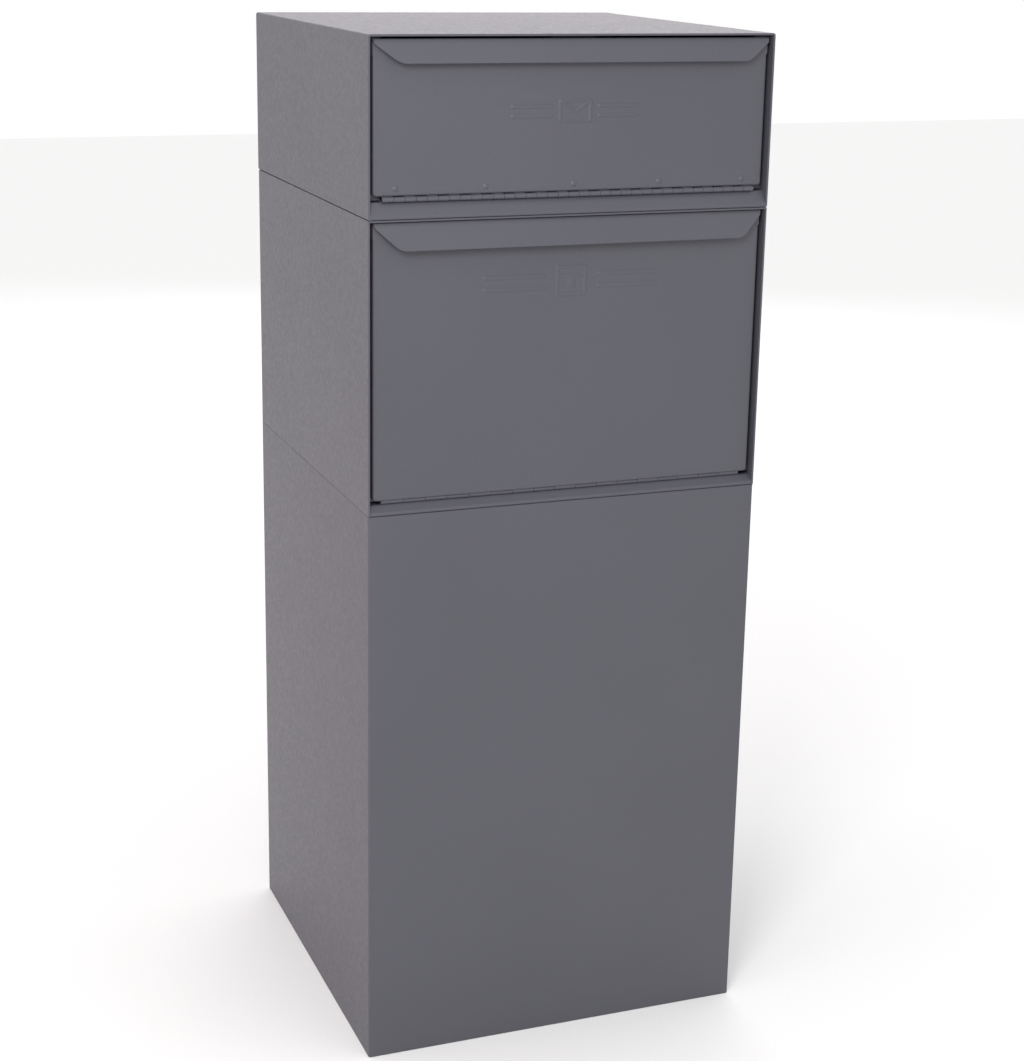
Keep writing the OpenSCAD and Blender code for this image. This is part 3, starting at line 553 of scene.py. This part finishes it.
def lip_grid(half, top, fold_top, lip_h, across, lip_angle, lip_cut):
    """A door's fold and finger lip, from the skin's top row.

    The fold turns by half a circle less the lip's angle. The lip's half width shrinks evenly
    along its cut ends, and a circle rounds its lower corners.
    """
    inner = half - SHEET_BEND
    back = DOOR_FACE + SHEET_T
    # The bend's two lines meet above it, so that the bend itself touches the fold's top.
    vertex = fold_top + SHEET_BEND / math.tan(lip_angle / 2) - SHEET_BEND
    tip_z = fold_top - lip_h
    tip = (back - (vertex - tip_z) * math.tan(lip_angle), tip_z)
    outside, normal = rounded([(back, top), (back, vertex), tip], SHEET_BEND)
    inside = close_up(outside + normal * SHEET_T, LIP_ROWS)
    outside = close_up(outside, LIP_ROWS)
    drop = np.clip((fold_top - LIP_START - outside[:, 1]) / (lip_h - LIP_START), 0, 1)
    # Points more than 3 mm in front of where the skin ends are the lip's, and not the fold's.
    on_lip = outside[:, 0] < back - 3 * MM
    drop = np.where(on_lip, drop, 0)
    short = np.clip(LIP_CORNER - (1 - drop) * (lip_h - LIP_START), 0, LIP_CORNER)
    curl = LIP_CORNER - np.sqrt(LIP_CORNER**2 - short**2)
    width = half - lip_cut * drop - np.where(on_lip, curl, 0)
    x = np.concatenate([[-half, -inner], across, [inner, half]])[:, None] / half * width
    y, z = (np.broadcast_to(axis, x.shape) for axis in inside.T)
    return np.stack([x, y, z], -1)


def door_sheet(node, lip_h, badge, rise, size, sheet):
    """Grids of a door pan: its skin, and the fold and finger lip above it."""
    door_low, door_high = box(node)
    half, low, fold_top = float(door_high[0]), float(door_low[2]), float(door_high[2])
    top = fold_top - FOLD_DROP
    badge_half, badge_low, badge_high = size[0], low + rise, low + rise + size[1]
    inner = half - SHEET_BEND
    coarse = np.linspace(-1, 1, 25)[1:-1] * inner
    fine = np.arange(-badge_half - BADGE_BORDER, badge_half + BADGE_BORDER, BADGE_STEP)
    across = np.unique(np.concatenate([coarse, fine]))
    return [
        skin_grid(half, low, top, across, badge, badge_low, badge_high, sheet.badge_height),
        lip_grid(half, top, fold_top, lip_h, across, sheet.lip_angle, sheet.lip_cut),
    ]


def ride_and_replace(piece, body, node):
    """The coated piece moves with a body and stands for a CAD node."""
    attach(piece, body)
    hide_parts(node)


# ---- Settings ----


class VaultSheetSettings(bpy.types.PropertyGroup):
    """Sizes of the folded sheets."""

    lip_angle: FloatProperty(
        name="Lip angle",
        description="Angle of a finger lip from the vertical",
        default=math.radians(26),
        subtype="ANGLE",
    )
    lip_cut: FloatProperty(
        name="Lip cut",
        description="How far a lip's lower corner is cut in",
        default=24 * MM,
        unit="LENGTH",
    )
    cut_edge: FloatProperty(
        name="Cut edge",
        description="Softening of the shells' cut edges under the coat",
        default=0.7 * MM,
        unit="LENGTH",
    )
    badge_height: FloatProperty(
        name="Badge height",
        description="How far the embossed pictograms stand out",
        default=0.8 * MM,
        unit="LENGTH",
    )


class VaultFinishSettings(bpy.types.PropertyGroup):
    """Colours of the finishes."""

    coat: FloatVectorProperty(
        name="Powder coat",
        description="Main colour of the powder coat",
        default=linear("#4d4d55")[:3],
        size=3,
        subtype="COLOR",
    )
    coat_roughness: FloatProperty(
        name="Coat roughness",
        description="Roughness of the powder coat",
        default=0.46,
        min=0.1,
        max=1.0,
    )


class VaultStageSettings(bpy.types.PropertyGroup):
    """Power of the lamps and strength of the even studio light."""

    key_power: FloatProperty(
        name="Lamps",
        description="Power that the lamps take their shares of",
        default=20,
        unit="POWER",
    )
    sky: FloatProperty(
        name="Sky",
        description="Strength of the even studio light",
        default=1.0,
        min=0.0,
    )


# ---- Pieces ----

FINISH = {}


class VAULT_OT_finishes(bpy.types.Operator):
    """Makes the finishes and puts them on the carried-over parts"""

    bl_idname = "vault.finishes"
    bl_label = "Finishes"

    def execute(self, context):
        finish = context.scene.vault_finish
        shades = [shade(finish.coat, factor) for factor in (0.97, 1.03)]
        FINISH["powder_coat"] = powder_coat("satin powder coat", shades, finish.coat_roughness)
        FINISH["painted_hinge"] = powder_coat("powder coat over hinge", shades, finish.coat_roughness)
        FINISH["zinc_steel"] = plated("bright zinc plate", "#c9ccd2", 0.34, 1.6)
        FINISH["pin_steel"] = plated("drawn stainless wire", "#c4c5c8", 0.28, 0.9)
        FINISH["lock_chrome"] = plated("nickel chrome plate", "#dcdcdf", 0.14, 2.5)
        FINISH["rubber"] = matte_moulding("black rubber", "#1b1b1c", 0.78, 0.8)
        FINISH["black_plastic"] = matte_moulding("moulded plastic", "#202022", 0.55, 0.7)
        FINISH["magnet"] = matte_moulding("ground ferrite", "#4a4a4d", 0.5, 0.5)
        for node, slot in SLOTS.items():
            piece = NODES[node]
            piece.data.materials.clear()
            piece.data.materials.append(FINISH[slot])
            soften(piece, PART_EDGE, 40)
        return {"FINISHED"}


def pedestal_sheet(edge):
    """Pedestal: jambs, sides and front in one wrap, with ledges for the package unit."""
    base, seam = float(PEDESTAL_LOW[2]), float(PEDESTAL_HIGH[2])
    wrap, _ = rounded(
        [
            (-JAMB_X, JAMB_EDGE),
            (-JAMB_X, REAR),
            (-HALF_W, REAR),
            (-HALF_W, FRONT),
            (HALF_W, FRONT),
            (HALF_W, REAR),
            (JAMB_X, REAR),
            (JAMB_X, JAMB_EDGE),
        ],
        SHELL_BEND,
    )
    grids = [
        carried(wrap, (base, seam), (0, 1, 2)),
        ledge((-INNER_W, INNER_W), (FRONT + SHELL_T, SILL_BACK), seam),
        # The side ledges stop 6 mm short of the jambs' edges.
        *side_ledges((SILL_BACK, JAMB_EDGE - 6 * MM), seam),
    ]
    piece = build("pedestal_sheet", grids, FINISH["powder_coat"], SHELL_T, True, edge)
    ride_and_replace(piece, "cabinet", "pedestal_shell")


def package_sheet(edge):
    """Package unit: sides and back in one wrap, with ledges along its foot and its top."""
    low, high = float(PACKAGE_LOW[2]), float(PACKAGE_HIGH[2])
    wrap, _ = rounded([(HALF_W, FRONT), (HALF_W, REAR), (-HALF_W, REAR), (-HALF_W, FRONT)], SHELL_BEND)
    # The side ledges start 2 mm behind the sills' flanges.
    sides = (SILL_BACK + 2 * MM, INNER_REAR)
    grids = [
        carried(wrap, (low, high), (0, 1, 2)),
        *side_ledges(sides, low + SHELL_T),
        *side_ledges(sides, high),
        ledge((-INNER_W, INNER_W), (INNER_REAR - FLANGE_W, INNER_REAR), high),
    ]
    piece = build("package_sheet", grids, FINISH["powder_coat"], SHELL_T, True, edge)
    ride_and_replace(piece, "cabinet", "package_shell")


def hood_sheet(edge):
    """Mail unit's hood: flanges, sides and top in one wrap, with returns round its open back."""
    seam, top = float(HOOD_LOW[2]), float(HOOD_HIGH[2])
    wrap, _ = rounded(
        [
            (FLANGE_X, seam),
            (HALF_W, seam),
            (HALF_W, top),
            (-HALF_W, top),
            (-HALF_W, seam),
            (-FLANGE_X, seam),
        ],
        SHELL_BEND,
    )
    # The hood has no bottom wall, so between its flanges the lowest return runs down to the seam.
    # It stops 0.1 mm short of them, so that their corners stay apart.
    foot_x = FLANGE_X - 0.1 * MM
    grids = [
        carried(wrap, (SILL_BACK, REAR), (0, 2, 1)),
        # In front of the sill's back edge the flanges are cut away.
        carried(wrap[1:-1], (FRONT, SILL_BACK), (0, 2, 1)),
        *returns((-HALF_W, seam), (HALF_W, top), SHELL_T, SHELL_T + FLANGE_W, REAR),
        plane((-foot_x, REAR, seam), (2 * foot_x, 0, 0), (0, 0, SHELL_T)),
    ]
    piece = build("hood_sheet", grids, FINISH["powder_coat"], SHELL_T, False, edge)
    ride_and_replace(piece, "cabinet", "mail_hood")


class VAULT_OT_units(bpy.types.Operator):
    """Folds the pedestal, the package unit's shell and the mail unit's hood"""

    bl_idname = "vault.units"
    bl_label = "Stacked units"

    def execute(self, context):
        edge = context.scene.vault_sheet.cut_edge
        pedestal_sheet(edge)
        package_sheet(edge)
        hood_sheet(edge)
        return {"FINISHED"}


# Piece, CAD node, body, lip height, badge, the badge's height over the door's foot, and the
# badge's half width and height.
DOORS = (
    (
        "mail_door_skin",
        "mail_door_pan",
        "mail_door",
        22 * MM,
        envelope,
        66 * MM,
        (70 * MM, 22 * MM),
    ),
    (
        "package_door_skin",
        "package_door_pan",
        "package_hopper",
        26 * MM,
        parcel,
        195 * MM,
        (96 * MM, 30 * MM),
    ),
)


class VAULT_OT_doors(bpy.types.Operator):
    """Folds the mail door and the parcel hopper's door"""

    bl_idname = "vault.doors"
    bl_label = "Doors"

    def execute(self, context):
        sheet = context.scene.vault_sheet
        for name, node, body, lip_h, badge, rise, size in DOORS:
            grids = door_sheet(node, lip_h, badge, rise, size, sheet)
            door = build(name, grids, FINISH["powder_coat"], SHEET_T, flip=True)
            ride_and_replace(door, body, node)
        return {"FINISHED"}


# ---- Stage ----

FLOOR_HALF = 9.0
# Lamp, place, size, its share of the power and its colour; each faces the vault's middle.
LAMPS = (
    ("left", (-2.6, 0.3, 0.35), 1.4, 0.42, (1.0, 0.04, 0.22)),
    ("front", (-0.75, -1.3, 1.45), 0.45, 0.62, (1.0, 0.98, 0.98)),
    ("rear", (1.3, 3.4, 2.1), 2.6, 1.15, (1.0, 0.9, 0.96)),
)
LAMP_AIM = Vector((0, 0, 0.6))
CAMERA_PLACE = (-0.7784, -2.0699, 1.1605)
CAMERA_TURN = (74.507, -1.012, -20.830)
CAMERA_LENS = 70.25
CAMERA_SHIFT = -0.038


class VAULT_OT_stage(bpy.types.Operator):
    """Makes the floor, the soft studio light and the camera"""

    bl_idname = "vault.stage"
    bl_label = "Stage"

    def execute(self, context):
        scene = context.scene
        side = 2 * FLOOR_HALF
        grid = plane((-FLOOR_HALF, -FLOOR_HALF, 0), (side, 0, 0), (0, side, 0))
        build("floor", [grid], floor_paper("seamless paper"))
        scene.view_settings.view_transform = "Standard"
        scene.world = bpy.data.worlds.new("studio")
        scene.world.use_nodes = True
        background = scene.world.node_tree.nodes["Background"]
        background.inputs["Color"].default_value = (1, 1, 1, 1)
        background.inputs["Strength"].default_value = scene.vault_stage.sky
        for name, place, size, share, colour in LAMPS:
            light = bpy.data.lights.new(name, "AREA")
            light.size = size
            light.energy = scene.vault_stage.key_power * share
            light.color = colour
            lamp = bpy.data.objects.new(name, light)
            lamp.location = place
            lamp.rotation_euler = (LAMP_AIM - lamp.location).to_track_quat("-Z", "Y").to_euler()
            scene.collection.objects.link(lamp)
        camera = bpy.data.cameras.new("camera")
        camera.lens = CAMERA_LENS
        camera.sensor_width = 36
        camera.shift_y = CAMERA_SHIFT
        view = bpy.data.objects.new("camera", camera)
        view.location = CAMERA_PLACE
        view.rotation_euler = [math.radians(angle) for angle in CAMERA_TURN]
        scene.collection.objects.link(view)
        scene.camera = view
        return {"FINISHED"}


# ---- Add-on ----


class VAULT_PT_panel(bpy.types.Panel):
    """The vault's settings and its operators"""

    bl_label = "Vault"
    bl_idname = "VAULT_PT_panel"
    bl_space_type = "VIEW_3D"
    bl_region_type = "UI"
    bl_category = "Vault"

    def draw(self, context):
        layout = self.layout
        for group in (context.scene.vault_sheet, context.scene.vault_finish, context.scene.vault_stage):
            for name in group.__annotations__:
                layout.prop(group, name)
        for operator in OPERATORS:
            layout.operator(operator.bl_idname)


OPERATORS = [VAULT_OT_finishes, VAULT_OT_units, VAULT_OT_doors, VAULT_OT_stage]
SETTINGS = {
    "vault_sheet": VaultSheetSettings,
    "vault_finish": VaultFinishSettings,
    "vault_stage": VaultStageSettings,
}
CLASSES = [*SETTINGS.values(), *OPERATORS, VAULT_PT_panel]


def register():
    for item in CLASSES:
        bpy.utils.register_class(item)
    for name, group in SETTINGS.items():
        setattr(bpy.types.Scene, name, PointerProperty(type=group))


def unregister():
    for name in SETTINGS:
        delattr(bpy.types.Scene, name)
    for item in reversed(CLASSES):
        bpy.utils.unregister_class(item)


def main():
    register()
    for operator in OPERATORS:
        group, _, name = operator.bl_idname.partition(".")
        getattr(getattr(bpy.ops, group), name)()


if __name__ == "__main__":
    main()
